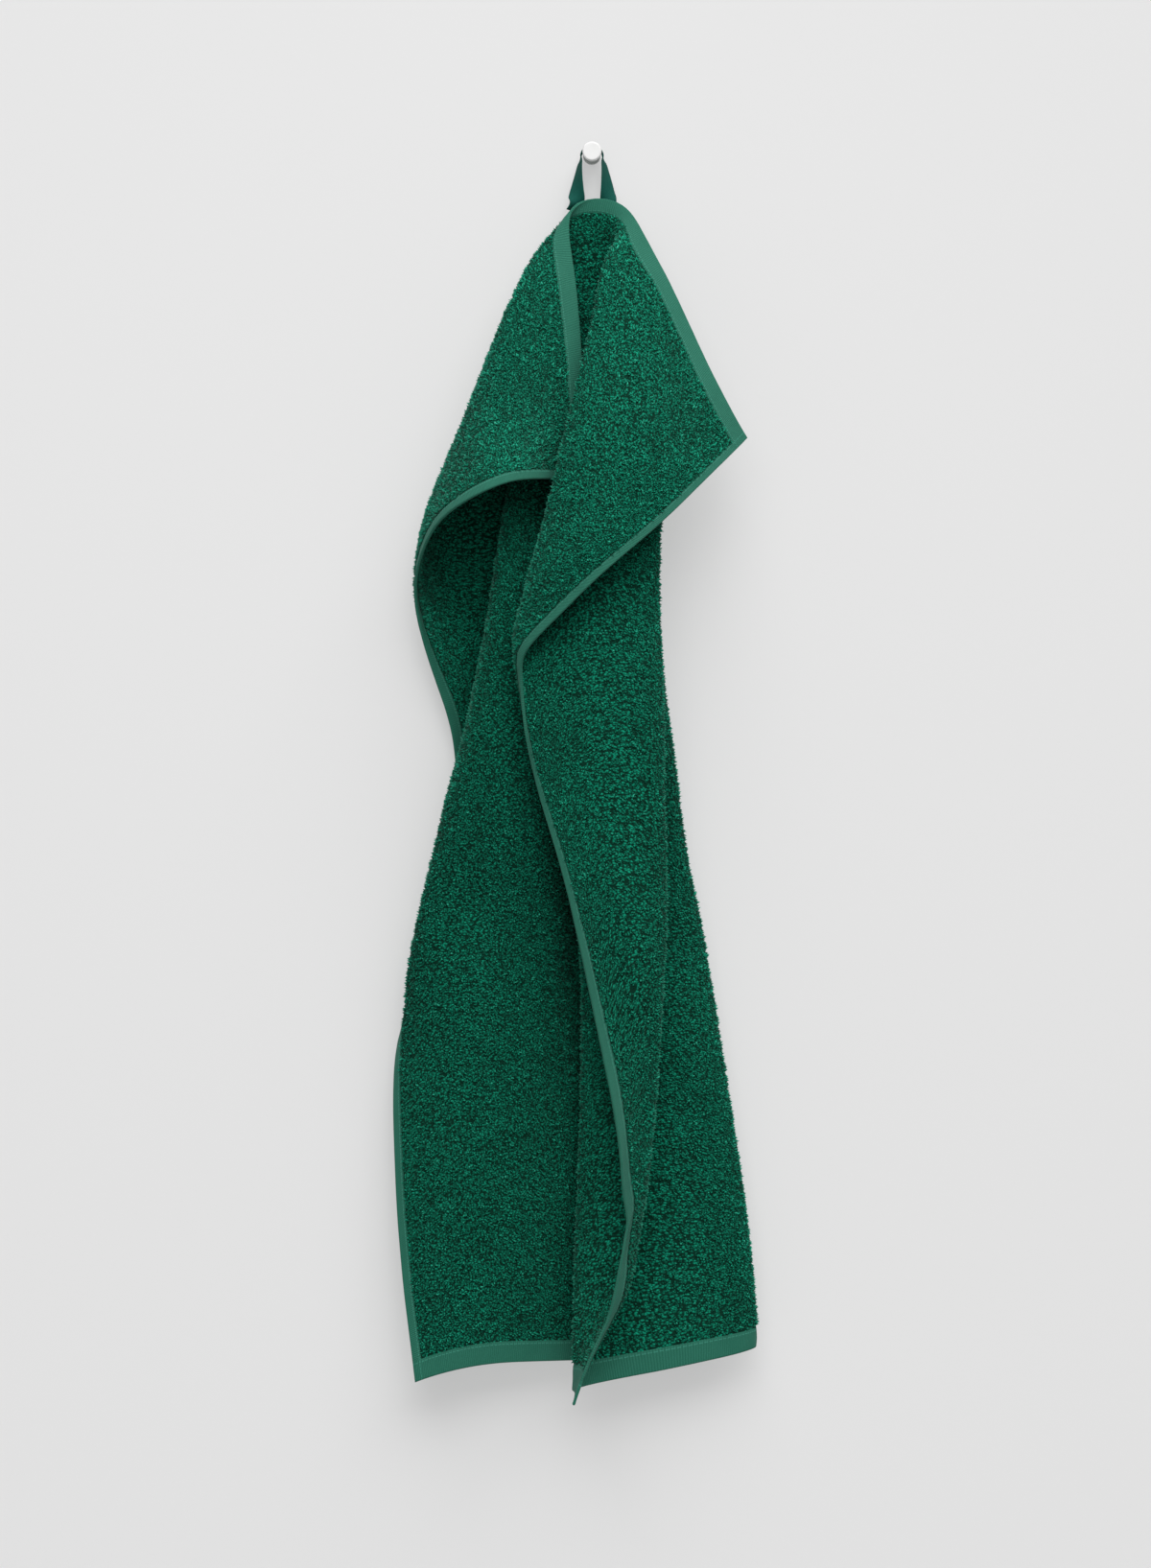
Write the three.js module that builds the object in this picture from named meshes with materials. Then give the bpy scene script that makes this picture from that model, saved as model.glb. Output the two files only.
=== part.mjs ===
// A terry towel hung by its loop on a small round wall peg.
// Millimetres, +Z up. The wall is the plane y = 0 and everything stands in front of it, at y < 0.
// The origin is the middle of the peg's flat foot on the wall.
import * as THREE from 'three'

// Driving dimensions of the cloth
const towelWidth = 500
const towelLength = 1000
const pileThickness = 3.6
const hemThickness = 2.6
const wideHem = 18
const narrowHem = 9
const hemStep = 3
const wallClearance = 3.2

// How finely the solid follows the cloth
const fieldColumns = 34
const fieldRows = 58

// Driving dimensions of the hanging loop
const tapeWidth = 14
const tapeThickness = 1.2
const loopRadius = 9.4
const sewnDepth = 13
const hemEdgeGap = 2
const fitGap = 0.4
const sewnGap = 1
const legBow = 0.6
const arcSteps = 8

// Driving dimensions of the peg
const pegRadius = 5
const pegReach = 21
const headRadius = 8.2
const headThickness = 4.5
const rimRound = 1.4
const footRadius = 7.5
const footThickness = 2.5
const footChamfer = 0.8
const headChamfer = 0.6
const roundSides = 40

// Fold lines of the hung cloth. A point of the flat cloth is given by
// across: from the middle line, left is negative, and down: from the hung short edge.
// It hangs at x: to the right of the peg, out: in front of the wall, and height: above the peg.
// Columns: across, down, x, out, height
const foldLines = {
  hungShortEdge: [
    [-195, 0, -8, 66, -236],
    [-130, 0, -9, 58, -172],
    [-60, 0, -14, 45, -111],
    [-22, 0, -19, 31, -57],
    [0, 0, -3, 19, -40],
    [24, 0, 24, 21, -44],
    [48, 0, 41, 31, -66],
    [110, 0, 69, 58, -125],
    [180, 0, 100, 78, -195]
  ],
  leftLongEdge: [
    [-250, 0, -14, 68, -284],
    [-250, 50, -32, 90, -286],
    [-250, 105, -63, 122, -290],
    [-250, 155, -89, 132, -300],
    [-250, 200, -116, 118, -314],
    [-250, 240, -135, 92, -333],
    [-250, 288, -150, 48, -374],
    [-250, 360, -139, 27, -436],
    [-250, 440, -118, 17, -514],
    [-250, 560, -121, 11, -638],
    [-250, 650, -150, 14, -724],
    [-250, 728, -168, 26, -782],
    [-250, 860, -165, 38, -918],
    [-250, 1000, -150, 50, -1048]
  ],
  leftFlapFold: [
    [-34, 32, -43, 34, -82],
    [-70, 72, -62, 49, -119],
    [-130, 140, -92, 58, -196],
    [-188, 205, -126, 60, -281]
  ],
  hollowBack: [
    [-52, 115, -36, 12, -162],
    [-105, 185, -73, 10, -242],
    [-160, 265, -121, 8, -337],
    [-200, 335, -116, 8, -403],
    [-228, 400, -103, 8, -471]
  ],
  hollowValley: [
    [-75, 215, -37, 10, -263],
    [-135, 290, -59, 10, -341],
    [-182, 380, -75, 10, -428],
    [-220, 450, -101, 8, -503]
  ],
  bodyLeftFold: [
    [-60, 245, -70, 44, -288],
    [-112, 305, -80, 52, -350],
    [-155, 385, -93, 54, -429],
    [-196, 470, -112, 50, -514],
    [-222, 560, -136, 44, -608],
    [-237, 650, -157, 36, -698]
  ],
  bodyMiddle: [
    [0, 80, -1, 10, -120],
    [-20, 250, -37, 42, -294],
    [-55, 320, -34, 52, -364],
    [-90, 400, -30, 56, -437],
    [-112, 500, -34, 56, -536],
    [-118, 620, -34, 52, -657],
    [-117, 760, -37, 44, -791],
    [-107, 880, -22, 34, -915],
    [-95, 1000, 2, 18, -1034]
  ],
  bodyBulge: [
    [-180, 620, -95, 54, -652],
    [-185, 760, -103, 52, -787],
    [-185, 880, -101, 52, -908]
  ],
  layerOnWall: [
    [-14, 290, 19, 18, -329],
    [-36, 400, 19, 15, -436],
    [-34, 500, 19, 14, -526],
    [-30, 650, 35, 12, -679],
    [-20, 800, 60, 10, -831],
    [-15, 1000, 81, 12, -1027]
  ],
  outerRightFold: [
    [30, 60, 33, 25, -97],
    [30, 165, 60, 29, -199],
    [22, 240, 53, 32, -277],
    [6, 320, 54, 34, -357],
    [-6, 400, 59, 34, -441],
    [-8, 490, 68, 34, -528],
    [6, 560, 81, 32, -608],
    [22, 640, 96, 30, -682],
    [35, 760, 114, 30, -801],
    [46, 880, 130, 30, -911],
    [44, 1000, 139, 32, -1020]
  ],
  pleatInnerFold: [
    [45, 250, 35, 54, -287],
    [44, 320, 18, 58, -358],
    [56, 400, -11, 62, -438],
    [66, 490, -23, 63, -527],
    [92, 560, -17, 64, -608],
    [118, 640, -8, 64, -688],
    [152, 760, -8, 64, -794],
    [180, 870, -10, 62, -900],
    [206, 1000, -16, 70, -1052]
  ],
  pleatShadedLayer: [
    [95, 780, 67, 41, -815],
    [110, 880, 74, 41, -908],
    [130, 1000, 59, 44, -1039]
  ],
  pleatOuterFold: [
    [64, 250, 58, 76, -285],
    [90, 325, 54, 82, -360],
    [122, 400, 58, 86, -443],
    [144, 490, 59, 90, -528],
    [166, 560, 60, 90, -607],
    [188, 640, 60, 90, -687],
    [208, 760, 54, 88, -792],
    [226, 860, 46, 88, -888],
    [234, 930, 31, 90, -964]
  ],
  frontPanel: [
    [150, 340, 2, 98, -367],
    [180, 410, 2, 104, -447],
    [194, 500, 3, 106, -536],
    [220, 640, 26, 106, -690]
  ],
  frontFlapFold: [
    [45, 50, 14, 50, -90],
    [68, 85, 5, 66, -131],
    [110, 130, -12, 94, -207],
    [150, 185, -28, 112, -280],
    [195, 245, -46, 116, -360],
    [232, 300, -59, 114, -417]
  ],
  frontFlap: [
    [95, 40, 41, 66, -131],
    [150, 80, 40, 102, -216],
    [180, 120, 26, 122, -273],
    [215, 200, -10, 136, -350]
  ],
  rightHemRoll: [
    [238, 600, 1, 106, -687],
    [238, 678, 21, 101, -775],
    [238, 765, 31, 98, -850],
    [238, 830, 35, 100, -884],
    [238, 890, 28, 101, -928]
  ],
  rightLongEdge: [
    [250, 0, 130, 80, -251],
    [250, 70, 92, 110, -290],
    [250, 140, 57, 128, -325],
    [250, 215, 11, 138, -365],
    [250, 275, -26, 134, -401],
    [250, 325, -55, 120, -432],
    [250, 350, -58, 112, -451],
    [250, 420, -51, 104, -525],
    [250, 530, -20, 112, -634],
    [250, 678, 16, 110, -802],
    [250, 765, 25, 108, -877],
    [250, 875, 26, 110, -933],
    [250, 1000, -16, 100, -1058]
  ]
}

// The cloth drapes as a thin plate that is held along its fold lines, at each row and between rows.
// A fold reaches further down the cloth than across it, so the spline sees the length shortened,
// and both in units of the fold spacing.
const foldSpacing = 100
const foldReach = 0.6
const plateSlack = 0.018
const heldSteps = 3

// A Catmull-Rom curve through the rows of a fold line, with a few points to each stretch
function heldPoints (rows) {
  const between = (first, second) => first.map((value, index) => 2 * value - second[index])
  const padded = [between(rows[0], rows[1]), ...rows, between(rows.at(-1), rows.at(-2))]
  const points = []
  for (let stretch = 1; stretch + 2 < padded.length; stretch++) {
    const [a, b, c, d] = padded.slice(stretch - 1, stretch + 3)
    for (let step = 0; step < heldSteps; step++) {
      const share = step / heldSteps
      points.push(b.map((value, index) => {
        const slope = c[index] - a[index]
        const square = 2 * a[index] - 5 * value + 4 * c[index] - d[index]
        const cube = 3 * value - a[index] - 3 * c[index] + d[index]
        return value + (slope * share + square * share ** 2 + cube * share ** 3) / 2
      }))
    }
  }
  points.push(rows.at(-1))
  return points
}

function flatPlace (across, down) {
  return [across / foldSpacing, down * foldReach / foldSpacing]
}

function plateKernel (a, b) {
  const squared = (a[0] - b[0]) ** 2 + (a[1] - b[1]) ** 2
  return squared > 1e-12 ? 0.5 * squared * Math.log(squared) : 0
}

// Gaussian elimination with row swaps. Each row holds its coefficients, then its right-hand sides.
function solve (rows) {
  const size = rows.length
  for (let pivot = 0; pivot < size; pivot++) {
    let best = pivot
    for (let row = pivot + 1; row < size; row++) {
      if (Math.abs(rows[row][pivot]) > Math.abs(rows[best][pivot])) best = row
    }
    const swapped = rows[pivot]
    rows[pivot] = rows[best]
    rows[best] = swapped
    for (let row = 0; row < size; row++) {
      if (row === pivot) continue
      const factor = rows[row][pivot] / rows[pivot][pivot]
      for (let column = pivot; column < rows[row].length; column++) {
        rows[row][column] -= factor * rows[pivot][column]
      }
    }
  }
  return rows.map((row, index) => row.slice(size).map((value) => value / row[index]))
}

function fitPlate (lines) {
  const points = Object.values(lines).flatMap(heldPoints)
  const places = points.map(([across, down]) => flatPlace(across, down))
  const plane = places.map((place) => [1, ...place])
  const rows = points.map(([, , x, out, height], index) => {
    const pulls = places.map((place) => plateKernel(places[index], place))
    pulls[index] += plateSlack
    return [...pulls, ...plane[index], x, -out, height]
  })
  for (let term = 0; term < 3; term++) {
    rows.push([...plane.map((values) => values[term]), 0, 0, 0, 0, 0, 0])
  }
  return { places, weights: solve(rows) }
}

const plate = fitPlate(foldLines)

// Where a point of the flat cloth's middle surface hangs
function clothPoint (across, down) {
  const place = flatPlace(across, down)
  const terms = plate.places.map((other) => plateKernel(place, other))
  terms.push(1, ...place)
  const point = [0, 0, 0]
  terms.forEach((term, index) => {
    for (let axis = 0; axis < 3; axis++) point[axis] += term * plate.weights[index][axis]
  })
  point[1] = Math.min(point[1], -wallClearance)
  return new THREE.Vector3(...point)
}

// How the hung cloth runs at a point: across it, down it, and the normal of its front face,
// which is the face that the flat cloth turns to the room
function clothRun (across, down) {
  const reach = 2
  const sideways = clothPoint(across + reach, down).sub(clothPoint(across - reach, down)).normalize()
  const downwards = clothPoint(across, down + reach).sub(clothPoint(across, down - reach))
  return { sideways, normal: downwards.cross(sideways).normalize() }
}

// Lines at a hem: the edge, the end of the hem and the start of the pile, then the field between
function hemmedLines (start, end, hem, count) {
  const first = start + hem + hemStep
  const last = end - hem - hemStep
  const field = Array.from({ length: count + 1 }, (_, index) => first + (last - first) * index / count)
  return [start, start + hem, ...field, end - hem, end]
}

// Joins a front and a back sheet of points, both rows by columns, into one closed solid
function sheetSolid (front, back) {
  const rows = front.length
  const columns = front[0].length
  const positions = []
  const triangles = []
  for (const sheet of [front, back]) {
    for (const row of sheet) {
      for (const point of row) positions.push(point.x, point.y, point.z)
    }
  }
  const frontIndex = (row, column) => row * columns + column
  const backIndex = (row, column) => rows * columns + frontIndex(row, column)
  const quad = (a, b, c, d) => triangles.push(a, b, c, a, c, d)
  const turnedQuad = (a, b, c, d) => triangles.push(a, b, d, b, c, d)
  for (let row = 0; row + 1 < rows; row++) {
    for (let column = 0; column + 1 < columns; column++) {
      const falling = front[row][column].distanceTo(front[row + 1][column + 1])
      const rising = front[row + 1][column].distanceTo(front[row][column + 1])
      const add = falling < rising ? quad : turnedQuad
      const corners = [[row, column], [row + 1, column], [row + 1, column + 1], [row, column + 1]]
      add(...corners.map((corner) => frontIndex(...corner)))
      const [first, ...others] = corners.map((corner) => backIndex(...corner))
      add(first, ...others.reverse())
    }
  }
  const wall = (a, b) => quad(frontIndex(...a), frontIndex(...b), backIndex(...b), backIndex(...a))
  for (let row = 0; row + 1 < rows; row++) {
    wall([row + 1, 0], [row, 0])
    wall([row, columns - 1], [row + 1, columns - 1])
  }
  for (let column = 0; column + 1 < columns; column++) {
    wall([0, column], [0, column + 1])
    wall([rows - 1, column + 1], [rows - 1, column])
  }
  const geometry = new THREE.BufferGeometry()
  geometry.setAttribute('position', new THREE.Float32BufferAttribute(positions, 3))
  geometry.setIndex(triangles)
  geometry.computeVertexNormals()
  return geometry
}

function halfThickness (across, down) {
  const toLongEdge = towelWidth / 2 - Math.abs(across)
  const toShortEdge = Math.min(down, towelLength - down)
  const inHem = toLongEdge < narrowHem + hemStep / 2 || toShortEdge < wideHem + hemStep / 2
  return (inHem ? hemThickness : pileThickness) / 2
}

function towelGeometry () {
  const across = hemmedLines(-towelWidth / 2, towelWidth / 2, narrowHem, fieldColumns)
  const down = hemmedLines(0, towelLength, wideHem, fieldRows)
  const sheet = (side) => down.map((v) => across.map((u) => {
    const lift = side * halfThickness(u, v)
    return clothPoint(u, v).addScaledVector(clothRun(u, v).normal, lift)
  }))
  return sheetSolid(sheet(1), sheet(-1))
}

// The tape's two ends lie behind the wide hem, at these places across it. From there each leg rises
// to the peg and turns a quarter on the way, so over the peg the tape's width lies along the peg.
// Seen from the room a leg narrows evenly as it rises, by this share of its width in all.
const sewnAcross = { left: -8, right: 15 }
const legShares = [0.22, 0.45, 0.7, 0.88]
const narrowedShare = 0.8
const loopMiddleOut = footThickness + (pegReach - footThickness) / 2
const loopTop = pegRadius + fitGap + tapeThickness / 2

function sewnFrame (across, down) {
  const { sideways, normal } = clothRun(across, down)
  const lift = hemThickness / 2 + sewnGap + tapeThickness / 2
  return { centre: clothPoint(across, down).addScaledVector(normal, -lift), along: sideways }
}

function legFrames (side, across) {
  const low = sewnFrame(across, sewnDepth)
  const high = sewnFrame(across, hemEdgeGap)
  const arcFoot = new THREE.Vector3(side * loopRadius, -loopMiddleOut, loopTop - loopRadius)
  const frames = [low, high]
  for (const share of legShares) {
    const centre = high.centre.clone().lerp(arcFoot, share)
    centre.x += side * legBow * Math.sin(Math.PI * share)
    const turn = Math.acos(1 - narrowedShare * share)
    const along = high.along.clone().multiplyScalar(Math.cos(turn))
    along.addScaledVector(new THREE.Vector3(0, side, 0), Math.sin(turn))
    frames.push({ centre, along: along.normalize() })
  }
  return frames
}

function loopGeometry () {
  const left = legFrames(-1, sewnAcross.left)
  const right = legFrames(1, sewnAcross.right).reverse()
  const arc = Array.from({ length: arcSteps + 1 }, (_, index) => {
    const angle = Math.PI * (1 - index / arcSteps)
    const x = loopRadius * Math.cos(angle)
    const z = loopTop - loopRadius + loopRadius * Math.sin(angle)
    return { centre: new THREE.Vector3(x, -loopMiddleOut, z), along: new THREE.Vector3(0, -1, 0) }
  })
  right.forEach((frame) => frame.along.negate())
  const route = [...left, ...arc, ...right]
  const centres = route.map((frame) => frame.centre)
  const edgeSteps = [-1, 0, 1]
  const sheet = (side) => route.map((frame, index) => {
    const before = centres[Math.max(index - 1, 0)]
    const after = centres[Math.min(index + 1, centres.length - 1)]
    const travel = after.clone().sub(before).normalize()
    const lift = travel.clone().cross(frame.along).normalize()
    const width = lift.clone().cross(travel).normalize()
    return edgeSteps.map((step) => frame.centre.clone()
      .addScaledVector(width, step * tapeWidth / 2)
      .addScaledVector(lift, side * tapeThickness / 2))
  })
  return sheetSolid(sheet(1), sheet(-1))
}

// The peg is turned: a foot on the wall, a slimmer stem and a flat head with a rounded rim
function pegGeometry () {
  const reach = pegReach + headThickness
  const profile = [
    [0, 0],
    [footRadius, 0],
    [footRadius, footThickness - footChamfer],
    [footRadius - footChamfer, footThickness],
    [pegRadius, footThickness],
    [pegRadius, pegReach],
    [headRadius - headChamfer, pegReach],
    [headRadius, pegReach + headChamfer]
  ].map(([radius, out]) => new THREE.Vector2(radius, out))
  const rimSteps = 4
  for (let step = 0; step <= rimSteps; step++) {
    const angle = Math.PI / 2 * step / rimSteps
    const radius = headRadius - rimRound + rimRound * Math.cos(angle)
    profile.push(new THREE.Vector2(radius, reach - rimRound + rimRound * Math.sin(angle)))
  }
  profile.push(new THREE.Vector2(0, reach))
  return new THREE.LatheGeometry(profile, roundSides)
}

function part (name, geometry, colour, roughness) {
  const material = new THREE.MeshStandardMaterial({ color: colour, roughness, metalness: 0 })
  const mesh = new THREE.Mesh(geometry, material)
  mesh.name = name
  return mesh
}

const hungTowel = new THREE.Group()
hungTowel.add(part('towel', towelGeometry(), 0x0d5c44, 0.95))
hungTowel.add(part('hanging_loop', loopGeometry(), 0x0f5a43, 0.8))

const peg = part('hook_peg', pegGeometry(), 0xf1f1ee, 0.45)
peg.rotation.z = Math.PI
hungTowel.add(peg)

export default hungTowel
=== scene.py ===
# A green terry towel that hangs by its loop on a small white wall peg.
# Metres, +Z up. The wall is the plane y = 0 and the towel hangs in front of it, at y < 0.
import math

import bpy
import numpy as np
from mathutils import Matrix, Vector


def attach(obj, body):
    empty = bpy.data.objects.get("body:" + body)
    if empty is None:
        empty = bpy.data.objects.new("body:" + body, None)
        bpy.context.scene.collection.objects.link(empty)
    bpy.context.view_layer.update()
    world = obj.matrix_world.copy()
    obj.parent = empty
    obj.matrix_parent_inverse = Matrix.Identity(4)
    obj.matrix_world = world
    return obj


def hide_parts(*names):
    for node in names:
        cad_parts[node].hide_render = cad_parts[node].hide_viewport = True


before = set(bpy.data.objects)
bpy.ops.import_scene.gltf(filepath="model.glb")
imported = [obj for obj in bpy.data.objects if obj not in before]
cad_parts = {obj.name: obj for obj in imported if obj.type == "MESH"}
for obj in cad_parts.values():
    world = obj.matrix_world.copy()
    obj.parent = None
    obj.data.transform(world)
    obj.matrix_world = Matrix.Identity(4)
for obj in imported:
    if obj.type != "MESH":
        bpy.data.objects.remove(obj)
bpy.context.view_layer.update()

MM = 0.001
rng = np.random.default_rng(41)

# The cloth, flat, in millimetres
TOWEL_WIDTH = 500
TOWEL_LENGTH = 1000
WIDE_HEM = 18
NARROW_HEM = 9
HEM_HALF = 1.3
GROUND_HALF = 1.1
WALL_CLEARANCE = 3.2

# The groove along each hem's seam, the rounding of the cloth's edge and the pucker of its hems
SEAM_HALF = 0.85
SEAM_MIDDLE = 0.5
SEAM_REACH = 0.8
EDGE_ROUND = 1.1
EDGE_SHARE = 0.35
PUCKER = 0.12

# The terry pile, in millimetres
LOOP_SPACING = 1.9
LOOP_RADIUS = 1.2
LOOP_HEIGHT = 3.2
LOOP_LEAN = 0.9
LOOP_JITTER = 0.45
PILE_EDGE = 1.2
CLUMP_SPACING = 2.6
CLUMP_SHARE = 0.75
CLUMP_LEAN = 2.2
CLUMP_REACH = 1.5
LOOP_UNEVEN = (0.75, 1.2)
LOOP_SUNK = 0.25
WALL_GAP = 0.2
SIZE_SEED = 7
LEAN_SEED = 3

# The hanging loop, in millimetres
TAPE_WIDTH = 14
TAPE_THICKNESS = 1.2
TAPE_ARC = 9.4
SEWN_DEPTH = 13
FIT_GAP = 0.4
SEWN_GAP = 1
SEWN_LEFT = -8
SEWN_RIGHT = 15
LEG_BOW = 0.6
NARROWED_SHARE = 0.8
HEM_EDGE_GAP = 2
LEG_SHARES = (0.22, 0.45, 0.7, 0.88)
ARC_STEPS = 8
TAPE_STEPS = 5
TAPE_COLUMNS = 15
TAPE_CUP = 0.35

# The peg, in millimetres
PEG_RADIUS = 5
PEG_REACH = 21
HEAD_RADIUS = 8.2
HEAD_THICKNESS = 4.5
RIM_ROUND = 1.4
FOOT_RADIUS = 7.5
FOOT_THICKNESS = 2.5
FOOT_EASE = 0.8
HEAD_EASE = 0.6
PEG_SIDES = 96
RIM_STEPS = 8

# The photograph: its frame in pixels, where it shows the peg, and its scale on the wall
PHOTO_WIDTH = 1200
PHOTO_HEIGHT = 1635
PEG_PIXEL = (617, 163)
PIXELS_PER_MM = 1.21
CAMERA_DISTANCE = 3.0
SENSOR = 36

# Fold lines of the hung cloth, as they are in the solid.
# Columns: across the flat cloth, down it, x, out from the wall, height, all in millimetres
FOLD_LINES = {
    "hung_short_edge": [
        (-195, 0, -8, 66, -236),
        (-130, 0, -9, 58, -172),
        (-60, 0, -14, 45, -111),
        (-22, 0, -19, 31, -57),
        (0, 0, -3, 19, -40),
        (24, 0, 24, 21, -44),
        (48, 0, 41, 31, -66),
        (110, 0, 69, 58, -125),
        (180, 0, 100, 78, -195),
    ],
    "left_long_edge": [
        (-250, 0, -14, 68, -284),
        (-250, 50, -32, 90, -286),
        (-250, 105, -63, 122, -290),
        (-250, 155, -89, 132, -300),
        (-250, 200, -116, 118, -314),
        (-250, 240, -135, 92, -333),
        (-250, 288, -150, 48, -374),
        (-250, 360, -139, 27, -436),
        (-250, 440, -118, 17, -514),
        (-250, 560, -121, 11, -638),
        (-250, 650, -150, 14, -724),
        (-250, 728, -168, 26, -782),
        (-250, 860, -165, 38, -918),
        (-250, 1000, -150, 50, -1048),
    ],
    "left_flap_fold": [
        (-34, 32, -43, 34, -82),
        (-70, 72, -62, 49, -119),
        (-130, 140, -92, 58, -196),
        (-188, 205, -126, 60, -281),
    ],
    "hollow_back": [
        (-52, 115, -36, 12, -162),
        (-105, 185, -73, 10, -242),
        (-160, 265, -121, 8, -337),
        (-200, 335, -116, 8, -403),
        (-228, 400, -103, 8, -471),
    ],
    "hollow_valley": [
        (-75, 215, -37, 10, -263),
        (-135, 290, -59, 10, -341),
        (-182, 380, -75, 10, -428),
        (-220, 450, -101, 8, -503),
    ],
    "body_left_fold": [
        (-60, 245, -70, 44, -288),
        (-112, 305, -80, 52, -350),
        (-155, 385, -93, 54, -429),
        (-196, 470, -112, 50, -514),
        (-222, 560, -136, 44, -608),
        (-237, 650, -157, 36, -698),
    ],
    "body_middle": [
        (0, 80, -1, 10, -120),
        (-20, 250, -37, 42, -294),
        (-55, 320, -34, 52, -364),
        (-90, 400, -30, 56, -437),
        (-112, 500, -34, 56, -536),
        (-118, 620, -34, 52, -657),
        (-117, 760, -37, 44, -791),
        (-107, 880, -22, 34, -915),
        (-95, 1000, 2, 18, -1034),
    ],
    "body_bulge": [
        (-180, 620, -95, 54, -652),
        (-185, 760, -103, 52, -787),
        (-185, 880, -101, 52, -908),
    ],
    "layer_on_wall": [
        (-14, 290, 19, 18, -329),
        (-36, 400, 19, 15, -436),
        (-34, 500, 19, 14, -526),
        (-30, 650, 35, 12, -679),
        (-20, 800, 60, 10, -831),
        (-15, 1000, 81, 12, -1027),
    ],
    "outer_right_fold": [
        (30, 60, 33, 25, -97),
        (30, 165, 60, 29, -199),
        (22, 240, 53, 32, -277),
        (6, 320, 54, 34, -357),
        (-6, 400, 59, 34, -441),
        (-8, 490, 68, 34, -528),
        (6, 560, 81, 32, -608),
        (22, 640, 96, 30, -682),
        (35, 760, 114, 30, -801),
        (46, 880, 130, 30, -911),
        (44, 1000, 139, 32, -1020),
    ],
    "pleat_inner_fold": [
        (45, 250, 35, 54, -287),
        (44, 320, 18, 58, -358),
        (56, 400, -11, 62, -438),
        (66, 490, -23, 63, -527),
        (92, 560, -17, 64, -608),
        (118, 640, -8, 64, -688),
        (152, 760, -8, 64, -794),
        (180, 870, -10, 62, -900),
        (206, 1000, -16, 70, -1052),
    ],
    "pleat_shaded_layer": [
        (95, 780, 67, 41, -815),
        (110, 880, 74, 41, -908),
        (130, 1000, 59, 44, -1039),
    ],
    "pleat_outer_fold": [
        (64, 250, 58, 76, -285),
        (90, 325, 54, 82, -360),
        (122, 400, 58, 86, -443),
        (144, 490, 59, 90, -528),
        (166, 560, 60, 90, -607),
        (188, 640, 60, 90, -687),
        (208, 760, 54, 88, -792),
        (226, 860, 46, 88, -888),
        (234, 930, 31, 90, -964),
    ],
    "front_panel": [
        (150, 340, 2, 98, -367),
        (180, 410, 2, 104, -447),
        (194, 500, 3, 106, -536),
        (220, 640, 26, 106, -690),
    ],
    "front_flap_fold": [
        (45, 50, 14, 50, -90),
        (68, 85, 5, 66, -131),
        (110, 130, -12, 94, -207),
        (150, 185, -28, 112, -280),
        (195, 245, -46, 116, -360),
        (232, 300, -59, 114, -417),
    ],
    "front_flap": [
        (95, 40, 41, 66, -131),
        (150, 80, 40, 102, -216),
        (180, 120, 26, 122, -273),
        (215, 200, -10, 136, -350),
    ],
    "right_hem_roll": [
        (238, 600, 1, 106, -687),
        (238, 678, 21, 101, -775),
        (238, 765, 31, 98, -850),
        (238, 830, 35, 100, -884),
        (238, 890, 28, 101, -928),
    ],
    "right_long_edge": [
        (250, 0, 130, 80, -251),
        (250, 70, 92, 110, -290),
        (250, 140, 57, 128, -325),
        (250, 215, 11, 138, -365),
        (250, 275, -26, 134, -401),
        (250, 325, -55, 120, -432),
        (250, 350, -58, 112, -451),
        (250, 420, -51, 104, -525),
        (250, 530, -20, 112, -634),
        (250, 678, 16, 110, -802),
        (250, 765, 25, 108, -877),
        (250, 875, 26, 110, -933),
        (250, 1000, -16, 100, -1058),
    ],
}

# Soft creases on top of the folds, placed on the flat cloth.
# Columns: across and down where it starts, across and down where it ends, half width, height
CREASES = [
    (70, 30, 205, 150, 22, -1.6),
    (110, 60, 235, 120, 26, 1.3),
    (-215, 60, -120, 30, 20, 1.2),
    (-160, 480, -205, 760, 24, -1.8),
    (-120, 420, -150, 980, 20, 1.4),
    (-75, 560, -60, 900, 26, -1.5),
    (185, 420, 235, 640, 16, 1.2),
    (60, 700, 90, 1000, 22, -1.4),
    (150, 330, 215, 440, 18, -1.3),
]

# How far a crease wanders aside, over what length, and how softly it ends
CREASE_WANDER = 6
WANDER_LENGTH = 55
CREASE_FADE = 40

# The cloth drapes as a thin plate through its fold lines, as in the solid
FOLD_SPACING = 100
FOLD_REACH = 0.6
PLATE_SLACK = 0.018
HELD_STEPS = 3
SLOPE_REACH = 2


def smooth_rows(rows, steps):
    """A Catmull-Rom curve through rows, with steps to each stretch"""
    rows = np.array(rows, dtype=float)
    padded = np.concatenate([2 * rows[:1] - rows[1:2], rows, 2 * rows[-1:] - rows[-2:-1]])
    result = []
    for a, b, c, d in zip(padded, padded[1:], padded[2:], padded[3:]):
        for share in np.arange(steps) / steps:
            bend = (2 * a - 5 * b + 4 * c - d) * share ** 2 + (3 * b - a - 3 * c + d) * share ** 3
            result.append(b + 0.5 * ((c - a) * share + bend))
    result.append(rows[-1])
    return np.array(result)


def flat_place(across, down):
    """A place on the flat cloth in the plate's own measure"""
    return np.stack([across / FOLD_SPACING, down * FOLD_REACH / FOLD_SPACING], axis=-1)


def plate_kernel(places, others):
    """The thin plate's bend at places for a pull at others"""
    squared = ((places[:, None, :] - others[None, :, :]) ** 2).sum(axis=-1)
    return 0.5 * squared * np.log(np.maximum(squared, 1e-12))


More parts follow.
